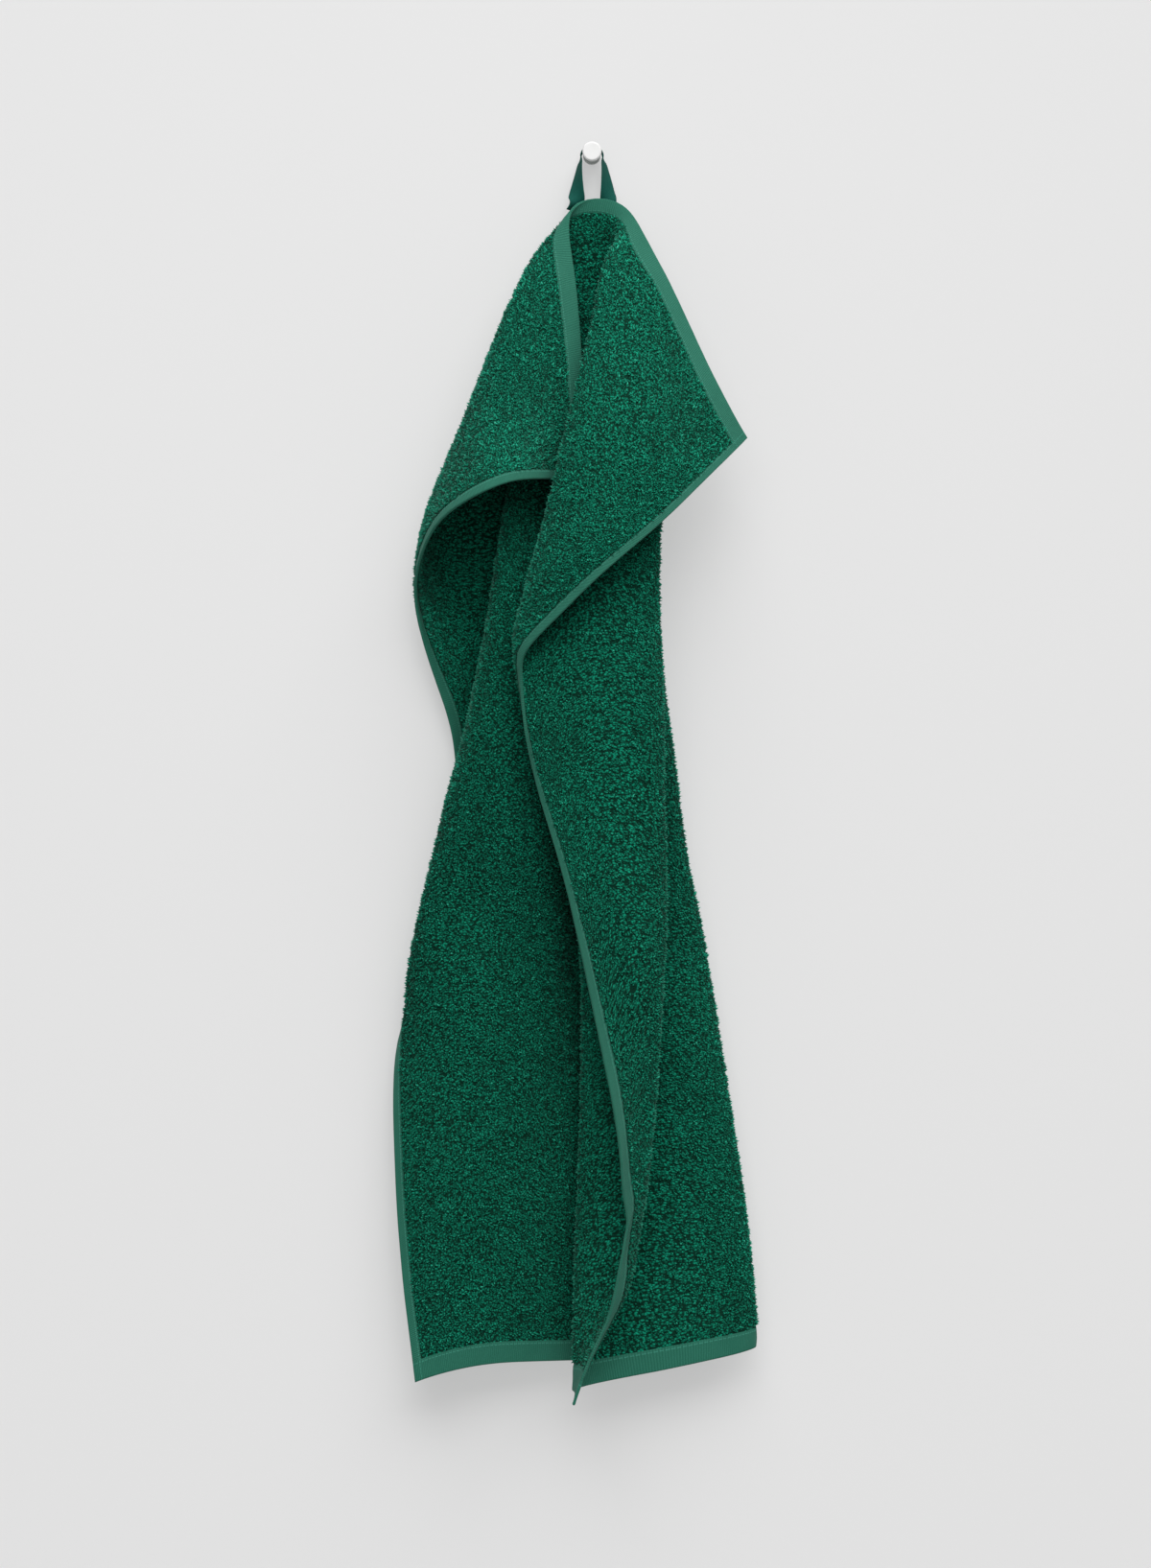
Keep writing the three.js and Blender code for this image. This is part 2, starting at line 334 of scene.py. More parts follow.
def fit_plate():
    """The held places of the plate and the weights that make it pass through the fold lines"""
    points = np.concatenate([smooth_rows(rows, HELD_STEPS) for rows in FOLD_LINES.values()])
    places = flat_place(points[:, 0], points[:, 1])
    count = len(places)
    plane = np.column_stack([np.ones(count), places])
    system = np.zeros((count + 3, count + 3))
    system[:count, :count] = plate_kernel(places, places) + PLATE_SLACK * np.eye(count)
    system[:count, count:] = plane
    system[count:, :count] = plane.T
    targets = np.zeros((count + 3, 3))
    targets[:count] = np.column_stack([points[:, 2], -points[:, 3], points[:, 4]])
    return places, np.linalg.solve(system, targets)


PLATE_PLACES, PLATE_WEIGHTS = fit_plate()


def plate_points(across, down):
    """Where points of the flat cloth's middle surface hang, in millimetres"""
    shape = np.shape(across)
    places = flat_place(np.ravel(across).astype(float), np.ravel(down).astype(float))
    chunks = []
    for start in range(0, len(places), 20000):
        chunk = places[start:start + 20000]
        terms = np.column_stack([plate_kernel(chunk, PLATE_PLACES), np.ones(len(chunk)), chunk])
        chunks.append(terms @ PLATE_WEIGHTS)
    points = np.concatenate(chunks)
    points[:, 1] = np.minimum(points[:, 1], -WALL_CLEARANCE)
    return points.reshape(*shape, 3)


def plate_normals(across, down):
    """The side of the flat cloth that is called its front"""
    sideways = plate_points(across + SLOPE_REACH, down) - plate_points(across - SLOPE_REACH, down)
    downwards = plate_points(across, down + SLOPE_REACH) - plate_points(across, down - SLOPE_REACH)
    normals = np.cross(downwards, sideways)
    return normals / np.linalg.norm(normals, axis=-1, keepdims=True)


def relief(across, down):
    """Soft creases and the slight unevenness of washed cloth, in millimetres along the normal"""
    height = np.zeros(np.shape(across))
    for from_across, from_down, to_across, to_down, half_width, rise in CREASES:
        run = np.array([to_across - from_across, to_down - from_down], dtype=float)
        length = np.linalg.norm(run)
        run /= length
        along = (across - from_across) * run[0] + (down - from_down) * run[1]
        aside = (across - from_across) * -run[1] + (down - from_down) * run[0]
        wander = CREASE_WANDER * np.sin(along / WANDER_LENGTH + from_across)
        beyond = np.maximum(np.maximum(-along, along - length), 0)
        height += rise * np.exp(-((aside - wander) / half_width) ** 2 - (beyond / CREASE_FADE) ** 2)
    # Two slow waves, each under half a millimetre high
    height += 0.5 * np.sin(across / 31 + 1.3 * np.sin(down / 57)) * np.sin(down / 43 + 0.7)
    height += 0.3 * np.sin(across / 17 + down / 29 + 2.1) * np.sin(down / 23 - across / 41)
    return height


class Drape:
    """The hung surface on a fine even grid, to read places and normals from"""

    STEP = 2.5

    def __init__(self):
        self.across = np.arange(-TOWEL_WIDTH / 2, TOWEL_WIDTH / 2 + 0.1, self.STEP)
        self.down = np.arange(0, TOWEL_LENGTH + 0.1, self.STEP)
        grid_across, grid_down = np.meshgrid(self.across, self.down)
        base = plate_points(grid_across, grid_down)
        flat_normals = plate_normals(grid_across, grid_down)
        self.points = base + flat_normals * relief(grid_across, grid_down)[..., None]
        sideways = np.gradient(self.points, axis=1)
        downwards = np.gradient(self.points, axis=0)
        normals = np.cross(downwards, sideways)
        self.normals = normals / np.linalg.norm(normals, axis=-1, keepdims=True)

    def read(self, across, down):
        column = np.clip((across - self.across[0]) / self.STEP, 0, len(self.across) - 1.001)
        row = np.clip(down / self.STEP, 0, len(self.down) - 1.001)
        left = column.astype(int)
        top = row.astype(int)
        right_share = (column - left)[..., None]
        low_share = (row - top)[..., None]
        results = []
        for field in (self.points, self.normals):
            upper = field[top, left] * (1 - right_share) + field[top, left + 1] * right_share
            lower = field[top + 1, left] * (1 - right_share) + field[top + 1, left + 1] * right_share
            results.append(upper * (1 - low_share) + lower * low_share)
        results[1] /= np.linalg.norm(results[1], axis=-1, keepdims=True)
        return results


# Two values at each corner of a mesh. On woven pieces they are across and along the flat piece, in
# millimetres. On the pile they are each loop's own random share and the share of the full height.
SURFACE_MAP = "surface_map"


def make_mesh(name, points, faces, corner_map, materials, face_materials=None):
    """A mesh object from arrays. Points are in millimetres, and all faces have equally many corners"""
    faces = np.asarray(faces, dtype=np.int32)
    corners = faces.shape[1]
    mesh = bpy.data.meshes.new(name)
    mesh.vertices.add(len(points))
    mesh.vertices.foreach_set("co", (np.asarray(points) * MM).astype(np.float32).ravel())
    mesh.loops.add(faces.size)
    mesh.loops.foreach_set("vertex_index", faces.ravel())
    mesh.polygons.add(len(faces))
    mesh.polygons.foreach_set("loop_start", np.arange(0, faces.size, corners, dtype=np.int32))
    mesh.polygons.foreach_set("use_smooth", np.ones(len(faces), dtype=bool))
    for material in materials:
        mesh.materials.append(material)
    if face_materials is not None:
        mesh.polygons.foreach_set("material_index", np.asarray(face_materials, dtype=np.int32))
    mesh.update(calc_edges=True)
    mesh.validate()
    layer = mesh.uv_layers.new(name=SURFACE_MAP)
    layer.uv.foreach_set("vector", np.asarray(corner_map, dtype=np.float32).ravel())
    piece = bpy.data.objects.new(name, mesh)
    bpy.context.scene.collection.objects.link(piece)
    return piece


# Materials


class Nodes:
    """Short ways to add and join the shader nodes of one material"""

    def __init__(self, name):
        self.material = bpy.data.materials.new(name)
        self.material.use_nodes = True
        self.tree = self.material.node_tree
        self.shader = self.tree.nodes["Principled BSDF"]

    def add(self, kind, inputs=None, **settings):
        node = self.tree.nodes.new(kind)
        for key, value in settings.items():
            setattr(node, key, value)
        for key, value in (inputs or {}).items():
            self.put(node.inputs[key], value)
        return node

    def put(self, socket, value):
        if isinstance(value, bpy.types.NodeSocket):
            self.tree.links.new(value, socket)
        else:
            socket.default_value = value

    def math(self, operation, *values):
        inputs = dict(enumerate(values))
        return self.add("ShaderNodeMath", inputs, operation=operation).outputs[0]

    def mix(self, share, first, second):
        node = self.add("ShaderNodeMix", data_type="RGBA")
        self.put(node.inputs[0], share)
        self.put(node.inputs[6], first)
        self.put(node.inputs[7], second)
        return node.outputs[2]

    def ramp(self, value, low, high):
        node = self.add("ShaderNodeMapRange", {"Value": value, "From Min": low, "From Max": high})
        return node.outputs["Result"]

    def bump(self, height, distance, strength=1.0, under=None):
        node = self.add("ShaderNodeBump", {"Height": height, "Distance": distance, "Strength": strength})
        if under is not None:
            self.put(node.inputs["Normal"], under)
        return node.outputs["Normal"]


def surface_map(nodes):
    """The two values that a mesh carries at each corner, apart and then together"""
    place = nodes.add("ShaderNodeUVMap", uv_map=SURFACE_MAP).outputs[0]
    split = nodes.add("ShaderNodeSeparateXYZ", {0: place})
    return split.outputs[0], split.outputs[1], place


# The root colour is painted shade for loop roots and the ground between them; the pale colour is a
# painted highlight on loop tips and also the real colour of the stitch thread
ROOT_SHADE_GREEN = (0.0003, 0.025, 0.014, 1)
LOOP_GREEN = (0.004, 0.34, 0.2, 1)
TIP_HIGHLIGHT_AND_THREAD_GREEN = (0.16, 0.8, 0.6, 1)
HEM_GREEN = (0.007, 0.106, 0.067, 1)
HEM_PALE = (0.02, 0.155, 0.103, 1)
TAPE_GREEN = (0.001, 0.04, 0.03, 1)
TAPE_PALE = (0.003, 0.1, 0.076, 1)
PEG_WHITE = (0.72, 0.72, 0.715, 1)
PEG_DUSTY = (0.68, 0.68, 0.67, 1)

# Woven ribs of the hems and tape, and the stitches of the hems, in millimetres
SIDE_RIB = 0.85
END_RIB = 0.8
TAPE_RIB = 0.7
STITCH_PITCH = 3.2
STITCH_SHARE = 0.74
STITCH_HALF = 0.45
SIDE_STITCH = NARROW_HEM - 1.6
END_STITCH = WIDE_HEM - 2.2


def terry_loops():
    """Cotton loops: painted shade at the root, a painted highlight towards a tall tip, each one a little
    different
    """
    nodes = Nodes("terry_loops")
    own, tip, _ = surface_map(nodes)
    spot = nodes.add("ShaderNodeTexCoord").outputs["Object"]
    patch = nodes.add("ShaderNodeTexNoise", {"Vector": spot, "Scale": 22, "Detail": 3}).outputs[0]
    # Painted shade at the loop roots, fading up each loop to the dye colour
    body = nodes.mix(nodes.ramp(tip, 0.1, 0.75), ROOT_SHADE_GREEN, LOOP_GREEN)
    # Painted highlight towards the tallest tips, stronger on some loops than on others
    pale = nodes.math("MULTIPLY", nodes.ramp(tip, 0.45, 1.05), nodes.ramp(own, 0.25, 1.0))
    lit = nodes.mix(nodes.math("MULTIPLY", pale, 0.6), body, TIP_HIGHLIGHT_AND_THREAD_GREEN)
    worn = nodes.mix(nodes.math("MULTIPLY", nodes.ramp(patch, 0.4, 0.75), 0.2), lit, ROOT_SHADE_GREEN)
    nodes.put(nodes.shader.inputs["Base Color"], worn)
    yarn = nodes.add("ShaderNodeTexNoise", {"Vector": spot, "Scale": 1900, "Detail": 2}).outputs[0]
    nodes.put(nodes.shader.inputs["Normal"], nodes.bump(yarn, 0.0004, 0.6))
    nodes.shader.inputs["Roughness"].default_value = 0.9
    nodes.shader.inputs["Specular IOR Level"].default_value = 0.12
    nodes.shader.inputs["Sheen Weight"].default_value = 0.16
    nodes.shader.inputs["Sheen Roughness"].default_value = 0.4
    nodes.shader.inputs["Sheen Tint"].default_value = (0.4, 0.85, 0.7, 1)
    return nodes.material


def terry_ground():
    """The woven ground between the loops, painted dark with their shade"""
    nodes = Nodes("terry_ground")
    _, _, place = surface_map(nodes)
    knots = nodes.add("ShaderNodeTexVoronoi", {"Vector": place, "Scale": 0.52}).outputs["Distance"]
    # Painted shade: the ground's colour darkens towards the root shade colour between the knots of the
    # weave
    colour = nodes.mix(nodes.ramp(knots, 0.1, 0.6), LOOP_GREEN, ROOT_SHADE_GREEN)
    nodes.put(nodes.shader.inputs["Base Color"], colour)
    height = nodes.ramp(knots, 0.7, 0.0)
    nodes.put(nodes.shader.inputs["Normal"], nodes.bump(height, 0.0012))
    nodes.shader.inputs["Roughness"].default_value = 0.98
    nodes.shader.inputs["Specular IOR Level"].default_value = 0.1
    nodes.shader.inputs["Sheen Weight"].default_value = 0.05
    return nodes.material


def hem_weave():
    """Flat woven hems: fine ribs across each hem, and a row of stitches near its inner side"""
    nodes = Nodes("hem_weave")
    across, down, place = surface_map(nodes)
    to_side = nodes.math("MINIMUM", across, nodes.math("SUBTRACT", TOWEL_WIDTH, across))
    to_end = nodes.math("MINIMUM", down, nodes.math("SUBTRACT", TOWEL_LENGTH, down))
    wide = nodes.math("LESS_THAN", to_end, WIDE_HEM + 1)
    side_ribs = nodes.math("SINE", nodes.math("MULTIPLY", down, math.pi / SIDE_RIB))
    end_ribs = nodes.math("SINE", nodes.math("MULTIPLY", across, math.pi / END_RIB))
    ribs = nodes.add("ShaderNodeMix", {0: wide, 2: side_ribs, 3: end_ribs}, data_type="FLOAT").outputs[0]
    picks = nodes.add("ShaderNodeTexNoise", {"Vector": place, "Scale": 1.4, "Detail": 3}).outputs[0]
    soft = nodes.add("ShaderNodeTexNoise", {"Vector": place, "Scale": 0.06, "Detail": 2}).outputs[0]

    def stitches(distance, line, run):
        aside = nodes.math("ABSOLUTE", nodes.math("SUBTRACT", distance, line))
        near = nodes.math("LESS_THAN", aside, STITCH_HALF)
        turn = nodes.math("FRACT", nodes.math("DIVIDE", run, STITCH_PITCH))
        dash = nodes.math("LESS_THAN", turn, STITCH_SHARE)
        return nodes.math("MULTIPLY", near, dash)

    side_row = stitches(to_side, SIDE_STITCH, down)
    end_row = stitches(to_end, END_STITCH, across)
    rows = nodes.math("MAXIMUM", side_row, end_row)
    tone = nodes.math("ADD", nodes.math("MULTIPLY", ribs, 0.16), picks)
    colour = nodes.mix(nodes.ramp(tone, 0.3, 0.8), HEM_GREEN, HEM_PALE)
    patched = nodes.mix(nodes.math("MULTIPLY", nodes.ramp(soft, 0.45, 0.7), 0.35), colour, HEM_GREEN)
    threaded = nodes.mix(nodes.math("MULTIPLY", rows, 0.12), patched, TIP_HIGHLIGHT_AND_THREAD_GREEN)
    nodes.put(nodes.shader.inputs["Base Color"], threaded)
    weave = nodes.bump(nodes.math("ADD", ribs, nodes.math("MULTIPLY", picks, 1.2)), 0.00012)
    nodes.put(nodes.shader.inputs["Normal"], nodes.bump(rows, 0.0004, 1.0, weave))
    nodes.shader.inputs["Roughness"].default_value = 0.82
    nodes.shader.inputs["Specular IOR Level"].default_value = 0.3
    nodes.shader.inputs["Sheen Weight"].default_value = 0.08
    nodes.shader.inputs["Sheen Tint"].default_value = (0.5, 0.85, 0.75, 1)
    return nodes.material


def twill_tape():
    """Narrow twill tape: fine diagonal ribs and firmer edges"""
    nodes = Nodes("twill_tape")
    across, along, place = surface_map(nodes)
    slant = nodes.math("ADD", along, nodes.math("MULTIPLY", across, 0.8))
    ribs = nodes.math("SINE", nodes.math("MULTIPLY", slant, math.pi / TAPE_RIB))
    picks = nodes.add("ShaderNodeTexNoise", {"Vector": place, "Scale": 1.8, "Detail": 2}).outputs[0]
    tone = nodes.math("ADD", nodes.math("MULTIPLY", ribs, 0.2), picks)
    colour = nodes.mix(nodes.ramp(tone, 0.3, 0.8), TAPE_GREEN, TAPE_PALE)
    nodes.put(nodes.shader.inputs["Base Color"], colour)
    nodes.put(nodes.shader.inputs["Normal"], nodes.bump(tone, 0.0003))
    nodes.shader.inputs["Roughness"].default_value = 0.8
    nodes.shader.inputs["Specular IOR Level"].default_value = 0.15
    return nodes.material


def peg_paint():
    """Satin white paint with a faint orange-peel surface"""
    nodes = Nodes("peg_paint")
    spot = nodes.add("ShaderNodeTexCoord").outputs["Object"]
    peel = nodes.add("ShaderNodeTexNoise", {"Vector": spot, "Scale": 700, "Detail": 2}).outputs[0]
    dust = nodes.add("ShaderNodeTexNoise", {"Vector": spot, "Scale": 60, "Detail": 3}).outputs[0]
    colour = nodes.mix(nodes.ramp(dust, 0.35, 0.8), PEG_WHITE, PEG_DUSTY)
    nodes.put(nodes.shader.inputs["Base Color"], colour)
    nodes.put(nodes.shader.inputs["Normal"], nodes.bump(peel, 0.00008, 0.5))
    gloss = nodes.add("ShaderNodeMapRange", {"Value": dust, "To Min": 0.34, "To Max": 0.48})
    nodes.put(nodes.shader.inputs["Roughness"], gloss.outputs["Result"])
    nodes.shader.inputs["Coat Weight"].default_value = 0.08
    nodes.shader.inputs["Coat Roughness"].default_value = 0.3
    return nodes.material


# The cloth


def spaced(start, end, step):
    """Even values from start to end, about step apart"""
    count = max(2, round((end - start) / step) + 1)
    return np.linspace(start, end, count)


def hem_lines(width, hem, step, fine):
    """Grid lines over one width of the cloth: close together on each hem and its seam, then even"""
    edge = [0, 0.35, 0.9]
    hem_field = spaced(2, hem - 0.6, fine)
    seam = [hem + 0.2, hem + 0.9, hem + 1.8]
    near = np.array([*edge, *hem_field, *seam])
    field = spaced(hem + 3, width - hem - 3, step)
    return np.concatenate([near, field, width - near[::-1]])


def half_thickness(across, down):
    """From the middle surface to either face: rounded rim, flat hem, seam groove, then woven ground"""
    to_side = np.minimum(across, TOWEL_WIDTH - across)
    to_end = np.minimum(down, TOWEL_LENGTH - down)
    rim = np.minimum(to_side, to_end)
    past_seam = np.minimum(to_side - NARROW_HEM, to_end - WIDE_HEM)
    half = np.where(past_seam < 0, HEM_HALF, GROUND_HALF)
    half = np.where(np.abs(past_seam - SEAM_MIDDLE) < SEAM_REACH, SEAM_HALF, half)
    inward = np.clip(rim / EDGE_ROUND, 0, 1)
    half = half * (EDGE_SHARE + (1 - EDGE_SHARE) * np.sqrt(inward * (2 - inward)))
    pucker = PUCKER * np.sin((across + down) / 2.6 + 2 * np.sin(down / 37)) * (past_seam < 1)
    return half + pucker * np.clip(rim / 2, 0, 1)


def sheet_faces(rows, columns):
    """Faces of a closed sheet: its front grid, its back grid and the rim between them"""
    count = rows * columns
    index = np.arange(count).reshape(rows, columns)
    a, b = index[:-1, :-1].ravel(), index[1:, :-1].ravel()
    c, d = index[1:, 1:].ravel(), index[:-1, 1:].ravel()
    ring = np.concatenate([index[:, 0], index[-1, 1:], index[-2::-1, -1], index[0, -2:0:-1]])
    after = np.roll(ring, -1)
    return np.concatenate([
        np.column_stack([a, b, c, d]),
        np.column_stack([a, d, c, b]) + count,
        np.column_stack([after, ring, ring + count, after + count]),
    ])


def cloth_sheet(drape, ground, hem):
    """One closed sheet with its hems"""
    across = hem_lines(TOWEL_WIDTH, NARROW_HEM, step=4.4, fine=2.4)
    down = hem_lines(TOWEL_LENGTH, WIDE_HEM, step=4.6, fine=3.4)
    grid_across, grid_down = np.meshgrid(across, down)
    points, normals = drape.read(grid_across - TOWEL_WIDTH / 2, grid_down)
    lift = normals * half_thickness(grid_across, grid_down)[..., None]
    vertices = np.concatenate([(points + lift).reshape(-1, 3), (points - lift).reshape(-1, 3)])
    faces = sheet_faces(*grid_across.shape)
    flat = np.column_stack([grid_across.ravel(), grid_down.ravel()])
    corners = np.concatenate([flat, flat])[faces]
    middle = corners.mean(axis=1)
    to_side = np.minimum(middle[:, 0], TOWEL_WIDTH - middle[:, 0])
    to_end = np.minimum(middle[:, 1], TOWEL_LENGTH - middle[:, 1])
    in_hem = (to_side < NARROW_HEM) | (to_end < WIDE_HEM)
    return make_mesh("towel_cloth", vertices, faces, corners, [ground, hem], in_hem)


def clump_field(across, down, seed):
    """A smooth random field: high in the middle of a clump of loops, low between clumps"""
    field = np.random.default_rng(seed)
    columns = int(TOWEL_WIDTH / CLUMP_SPACING) + 3
    rows = int(TOWEL_LENGTH / CLUMP_SPACING) + 3
    values = field.random((rows, columns))
    column = across / CLUMP_SPACING
    row = down / CLUMP_SPACING
    left = column.astype(int)
    top = row.astype(int)
    right_share = column - left
    low_share = row - top
    right_share = right_share ** 2 * (3 - 2 * right_share)
    low_share = low_share ** 2 * (3 - 2 * low_share)
    upper = values[top, left] * (1 - right_share) + values[top, left + 1] * right_share
    lower = values[top + 1, left] * (1 - right_share) + values[top + 1, left + 1] * right_share
    return upper * (1 - low_share) + lower * low_share


def pile(drape, name, side, start, end, material):
    """Terry loops on one face of the cloth from start to end down it, each one a leaning pointed tuft.
    Tufts that would reach the wall are pressed flat just in front of it."""
    first = NARROW_HEM + PILE_EDGE
    across_lines = spaced(first, TOWEL_WIDTH - first, LOOP_SPACING)
    down_lines = spaced(start, end, LOOP_SPACING)[:-1]
    across, down = (grid.ravel() for grid in np.meshgrid(across_lines, down_lines))
    count = len(across)
    jitter = rng.uniform(-LOOP_JITTER, LOOP_JITTER, (2, count)) * LOOP_SPACING
    across = across + jitter[0]
    down = down + jitter[1]
    points, normals = drape.read(across - TOWEL_WIDTH / 2, down)
    normals = normals * side
    hint = np.array([0.3, 0.2, 1.0])
    tangent = np.cross(normals, hint)
    tangent /= np.linalg.norm(tangent, axis=1, keepdims=True)
    bitangent = np.cross(normals, tangent)
    turn = rng.uniform(0, 2 * math.pi, count)
    clump = clump_field(across, down, SIZE_SEED + side)
    size = rng.uniform(*LOOP_UNEVEN, count) * (0.7 + 0.6 * clump)
    root = points + normals * (GROUND_HALF - LOOP_SUNK)
    vertices = np.empty((count, 4, 3))
    for corner in range(3):
        angle = turn + corner * 2 * math.pi / 3
        spread = (LOOP_RADIUS * size)[:, None]
        vertices[:, corner] = root + spread * (
            tangent * np.cos(angle)[:, None] + bitangent * np.sin(angle)[:, None])
    lean = rng.uniform(-LOOP_LEAN, LOOP_LEAN, (2, count))
    right = clump_field(across + CLUMP_REACH, down, LEAN_SEED)
    left = clump_field(np.maximum(across - CLUMP_REACH, 0), down, LEAN_SEED)
    below = clump_field(across, down + CLUMP_REACH, LEAN_SEED)
    above = clump_field(across, np.maximum(down - CLUMP_REACH, 0), LEAN_SEED)
    lean[0] += CLUMP_LEAN * (right - left)
    lean[1] += CLUMP_LEAN * (below - above)
    height = LOOP_HEIGHT * (1 - CLUMP_SHARE + CLUMP_SHARE * clump) * rng.uniform(*LOOP_UNEVEN, count)
    vertices[:, 3] = root + normals * (height + LOOP_SUNK)[:, None]
    vertices[:, 3] += (tangent * lean[0][:, None] + bitangent * lean[1][:, None]) * LOOP_RADIUS
    vertices[:, :, 1] = np.minimum(vertices[:, :, 1], -WALL_GAP)
    base = np.arange(count)[:, None] * 4
    sides = np.array([[0, 1, 3], [1, 2, 3], [2, 0, 3]])
    faces = (base[:, :, None] + sides[None]).reshape(-1, 3)
    # Share of the full height, which the loop material turns into painted shade at the root and a painted
    # highlight at the tip
    tip = np.zeros((count, 4))
    tip[:, 3] = height / LOOP_HEIGHT
    tuft_map = np.column_stack([np.repeat(rng.random(count), 4), tip.ravel()])
    return make_mesh(name, vertices.reshape(-1, 3), faces, tuft_map[faces], [material])


# The hanging loop


def unit(vector):
    return vector / np.linalg.norm(vector)


LOOP_MIDDLE = FOOT_THICKNESS + (PEG_REACH - FOOT_THICKNESS) / 2
LOOP_TOP = PEG_RADIUS + FIT_GAP + TAPE_THICKNESS / 2


def sewn_frame(across, down):
    """The tape's centre and the direction of its width where it is sewn behind the cloth"""
    across, down = np.array([float(across)]), np.array([float(down)])
    normal = plate_normals(across, down)[0]
    lift = HEM_HALF + SEWN_GAP + TAPE_THICKNESS / 2
    ahead = plate_points(across + SLOPE_REACH, down)[0]
    behind = plate_points(across - SLOPE_REACH, down)[0]
    return plate_points(across, down)[0] - normal * lift, unit(ahead - behind)


def leg_frames(side, across):
    """One leg from its sewn end up to the peg. It turns on the way, so it narrows evenly from the room"""
    low = sewn_frame(across, SEWN_DEPTH)
    high = sewn_frame(across, HEM_EDGE_GAP)
    arc_foot = np.array([side * TAPE_ARC, -LOOP_MIDDLE, LOOP_TOP - TAPE_ARC])
    frames = [low, high]
    for share in LEG_SHARES:
        centre = high[0] + (arc_foot - high[0]) * share
        centre[0] += side * LEG_BOW * math.sin(math.pi * share)
        turn = math.acos(1 - NARROWED_SHARE * share)
        along = high[1] * math.cos(turn) + np.array([0, side, 0]) * math.sin(turn)
        frames.append((centre, unit(along)))
    return frames


def tape_route():
    """Centres and width directions along the tape: up the left leg, over the peg, down the right leg"""
    left = leg_frames(-1, SEWN_LEFT)
    right = [(centre, -along) for centre, along in reversed(leg_frames(1, SEWN_RIGHT))]
    arc = []
    for step in range(ARC_STEPS + 1):
        angle = math.pi * (1 - step / ARC_STEPS)
        rise = LOOP_TOP - TAPE_ARC + TAPE_ARC * math.sin(angle)
        arc.append((np.array([TAPE_ARC * math.cos(angle), -LOOP_MIDDLE, rise]), np.array([0, -1.0, 0])))
    return left + arc + right


def tape_sheet(material):
    """The tape as one closed sheet, a little cupped and with firm edges, and its length"""
    route = tape_route()
    centres = smooth_rows([centre for centre, _ in route], TAPE_STEPS)
    widths = smooth_rows([along for _, along in route], TAPE_STEPS)
    travel = np.gradient(centres, axis=0)
    travel /= np.linalg.norm(travel, axis=1, keepdims=True)
    lift = np.cross(travel, widths)
    lift /= np.linalg.norm(lift, axis=1, keepdims=True)
    widths = np.cross(lift, travel)
    run = np.concatenate([[0], np.cumsum(np.linalg.norm(np.diff(centres, axis=0), axis=1))])
    aside = np.linspace(-1, 1, TAPE_COLUMNS)
    firm = 0.8 + 0.2 * (np.abs(aside) > 0.8)
    half = TAPE_THICKNESS / 2 * firm * (1 - 0.45 * (np.abs(aside) == 1))
    cup = -TAPE_CUP * aside ** 2 * np.sin(np.clip(run / run[-1], 0, 1) * math.pi)[:, None]
    middle = centres[:, None] + widths[:, None] * (aside * TAPE_WIDTH / 2)[None, :, None]
    middle = middle + lift[:, None] * cup[..., None]
    offset = lift[:, None] * half[None, :, None]
    vertices = np.concatenate([(middle + offset).reshape(-1, 3), (middle - offset).reshape(-1, 3)])
    faces = sheet_faces(len(run), TAPE_COLUMNS)
    flat = np.stack(np.meshgrid(aside * TAPE_WIDTH / 2, run), axis=-1).reshape(-1, 2)
    corners = np.concatenate([flat, flat])[faces]
    return make_mesh("loop_tape", vertices, faces, corners, [material]), run[-1]


# The peg


def peg_profile():
    """Radius and distance out, from the middle of the foot along the outline to the middle of the face"""
    reach = PEG_REACH + HEAD_THICKNESS
    foot = [(0, 0), (FOOT_RADIUS, 0), (FOOT_RADIUS, FOOT_THICKNESS - FOOT_EASE),
            (FOOT_RADIUS - 0.25, FOOT_THICKNESS - 0.25), (FOOT_RADIUS - FOOT_EASE, FOOT_THICKNESS)]
    stem = [(PEG_RADIUS + 0.5, FOOT_THICKNESS), (PEG_RADIUS + 0.1, FOOT_THICKNESS + 0.15),
            (PEG_RADIUS, FOOT_THICKNESS + 0.6), (PEG_RADIUS, PEG_REACH - 0.5),
            (PEG_RADIUS + 0.3, PEG_REACH)]
    back = [(HEAD_RADIUS - HEAD_EASE, PEG_REACH), (HEAD_RADIUS - 0.15, PEG_REACH + 0.15),
            (HEAD_RADIUS, PEG_REACH + HEAD_EASE)]
    rim = []
    for step in range(RIM_STEPS + 1):
        angle = math.pi / 2 * step / RIM_STEPS
        radius = HEAD_RADIUS - RIM_ROUND + RIM_ROUND * math.cos(angle)
        rim.append((radius, reach - RIM_ROUND + RIM_ROUND * math.sin(angle)))
    face = [(HEAD_RADIUS - RIM_ROUND - HEAD_EASE, reach), (0, reach)]
    return foot + stem + back + rim + face


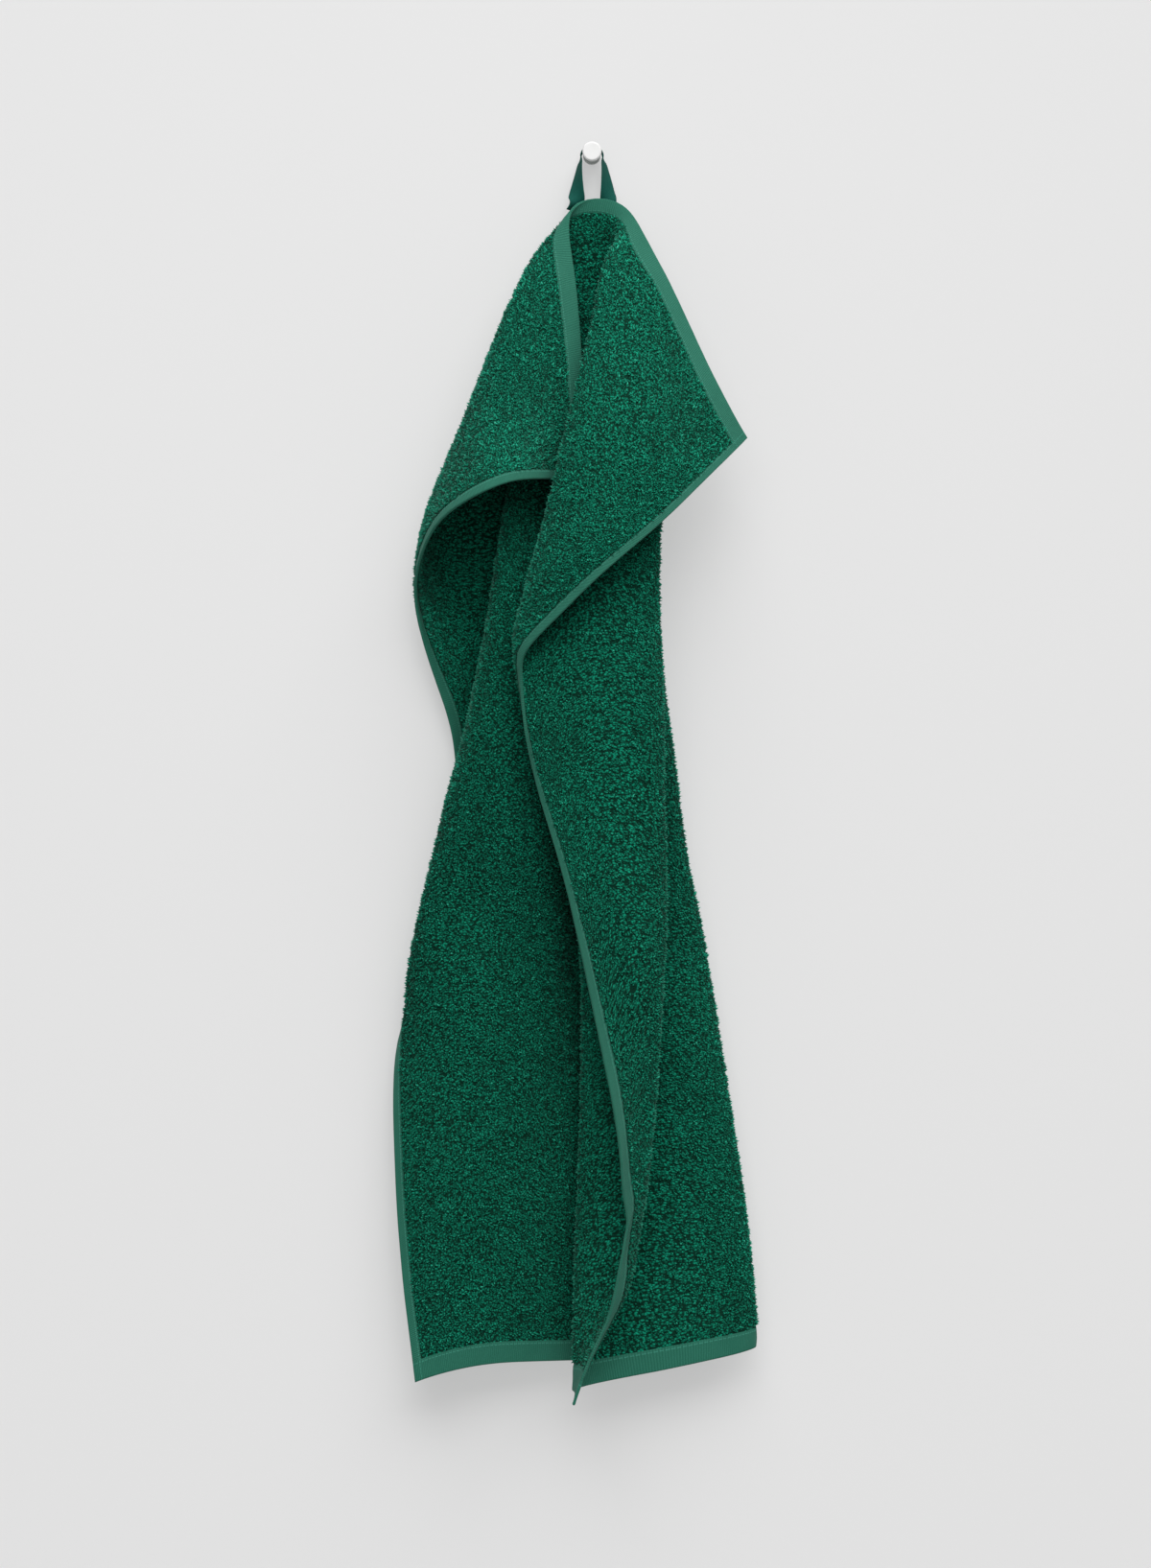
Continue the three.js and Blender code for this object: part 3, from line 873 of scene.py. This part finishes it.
def turned_peg(material):
    """A foot on the wall, a slimmer stem and a flat head with a rounded rim"""
    first, *inner, last = peg_profile()
    angles = np.linspace(0, 2 * math.pi, PEG_SIDES, endpoint=False)
    vertices = [(0, -first[1], 0), (0, -last[1], 0)]
    for radius, out in inner:
        vertices += [(radius * math.cos(angle), -out, radius * math.sin(angle)) for angle in angles]
    step = np.arange(PEG_SIDES)
    after = (step + 1) % PEG_SIDES
    faces = []
    for ring in range(len(inner) - 1):
        low = 2 + ring * PEG_SIDES
        high = low + PEG_SIDES
        faces += np.column_stack([low + step, low + after, high + after, high + step]).tolist()
    foot = np.column_stack([np.zeros(PEG_SIDES, int), 2 + after, 2 + step]).tolist()
    face = np.column_stack([np.ones(PEG_SIDES, int), high + step, high + after]).tolist()
    mesh = bpy.data.meshes.new("peg_turned")
    mesh.from_pydata([tuple(np.array(vertex) * MM) for vertex in vertices], [], faces + foot + face)
    mesh.materials.append(material)
    for polygon in mesh.polygons:
        polygon.use_smooth = True
    piece = bpy.data.objects.new("peg_turned", mesh)
    bpy.context.scene.collection.objects.link(piece)
    return piece


# Stage, light and camera


def plain_material(name, colour, roughness):
    """One even colour and roughness"""
    nodes = Nodes(name)
    nodes.shader.inputs["Base Color"].default_value = colour
    nodes.shader.inputs["Roughness"].default_value = roughness
    return nodes


def stage_panel(name, corners, material):
    """One flat panel around the part that isn't part of it"""
    mesh = bpy.data.meshes.new(name)
    mesh.from_pydata(corners, [], [(0, 1, 2, 3)])
    mesh.materials.append(material)
    panel = bpy.data.objects.new(name, mesh)
    bpy.context.scene.collection.objects.link(panel)
    return panel


def wall_paint():
    """Matt pale paint on the room side only, so the wall hides nothing from behind"""
    nodes = plain_material("wall_paint", (0.33, 0.33, 0.33, 1), 0.9)
    nodes.shader.inputs["Emission Color"].default_value = (1, 1, 1, 1)
    nodes.shader.inputs["Emission Strength"].default_value = 0.41
    behind = nodes.add("ShaderNodeNewGeometry").outputs["Backfacing"]
    clear = nodes.add("ShaderNodeBsdfTransparent").outputs[0]
    mixed = nodes.add("ShaderNodeMixShader", {0: behind, 1: nodes.shader.outputs[0], 2: clear})
    nodes.put(nodes.tree.nodes["Material Output"].inputs["Surface"], mixed.outputs[0])
    return nodes.material


def add_stage():
    """A wall just behind the peg's foot, and a floor below the towel"""
    side, behind = 3.0, 0.001
    low, high = -1.75, 1.2
    stage_panel("wall", [(-side, behind, low), (side, behind, low), (side, behind, high),
                         (-side, behind, high)], wall_paint())
    floor = plain_material("floor_paint", (0.3, 0.3, 0.3, 1), 0.8)
    reach = 6.0
    stage_panel("floor", [(-reach, -reach, low), (reach, -reach, low), (reach, reach, low),
                          (-reach, reach, low)], floor.material)


def area_light(name, place, target, size, power):
    light = bpy.data.lights.new(name, "AREA")
    light.shape = "SQUARE"
    light.size = size
    light.energy = power
    lamp = bpy.data.objects.new(name, light)
    lamp.location = place
    aim = Vector(target) - Vector(place)
    lamp.rotation_euler = aim.to_track_quat("-Z", "Y").to_euler()
    bpy.context.scene.collection.objects.link(lamp)


def add_light():
    """A high wide window to the right, a lamp above in front and a weak fill beside the camera"""
    world = bpy.data.worlds.new("studio")
    world.use_nodes = True
    world.node_tree.nodes["Background"].inputs[0].default_value = (1, 1, 1, 1)
    world.node_tree.nodes["Background"].inputs[1].default_value = 0.2
    bpy.context.scene.world = world
    sun = bpy.data.lights.new("high_window", "SUN")
    sun.energy = 3.4
    sun.angle = math.radians(60)
    lamp = bpy.data.objects.new("high_window", sun)
    lamp.rotation_euler = (math.radians(31), 0, math.radians(20))
    bpy.context.scene.collection.objects.link(lamp)
    area_light("lamp_above", place=(-0.1, -1.6, 0.5), target=(0, 0, -0.3), size=1.1, power=10)
    area_light("front_fill", place=(0.1, -3.0, -0.3), target=(0, 0, -0.4), size=1.6, power=6.5)


def add_camera():
    """The photograph's view, straight at the wall"""
    camera = bpy.data.cameras.new("camera")
    view_width = PHOTO_WIDTH / PIXELS_PER_MM * MM
    camera.sensor_fit = "HORIZONTAL"
    camera.sensor_width = SENSOR
    camera.lens = SENSOR * CAMERA_DISTANCE / view_width
    holder = bpy.data.objects.new("camera", camera)
    x = (PHOTO_WIDTH / 2 - PEG_PIXEL[0]) / PIXELS_PER_MM * MM
    z = (PEG_PIXEL[1] - PHOTO_HEIGHT / 2) / PIXELS_PER_MM * MM
    holder.location = (x, -CAMERA_DISTANCE, z)
    holder.rotation_euler = (math.pi / 2, 0, 0)
    bpy.context.scene.collection.objects.link(holder)
    bpy.context.scene.camera = holder


add_camera()
add_light()
add_stage()
bpy.context.scene.view_settings.view_transform = "Standard"

drape = Drape()
loops = terry_loops()
cloth = cloth_sheet(drape, terry_ground(), hem_weave())
pile_start = WIDE_HEM + PILE_EDGE
pile_end = TOWEL_LENGTH - WIDE_HEM - PILE_EDGE
pile_middle = (pile_start + pile_end) / 2
pile_pieces = [
    pile(drape, "front_pile_upper", 1, pile_start, pile_middle, loops),
    pile(drape, "front_pile_lower", 1, pile_middle, pile_end, loops),
    pile(drape, "reverse_pile_upper", -1, pile_start, pile_middle, loops),
    pile(drape, "reverse_pile_lower", -1, pile_middle, pile_end, loops),
]
for piece in [cloth, *pile_pieces]:
    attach(piece, "root")
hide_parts("towel")

tape, tape_length = tape_sheet(twill_tape())
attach(tape, "root")
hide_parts("hanging_loop")

peg = turned_peg(peg_paint())
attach(peg, "root")
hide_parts("hook_peg")
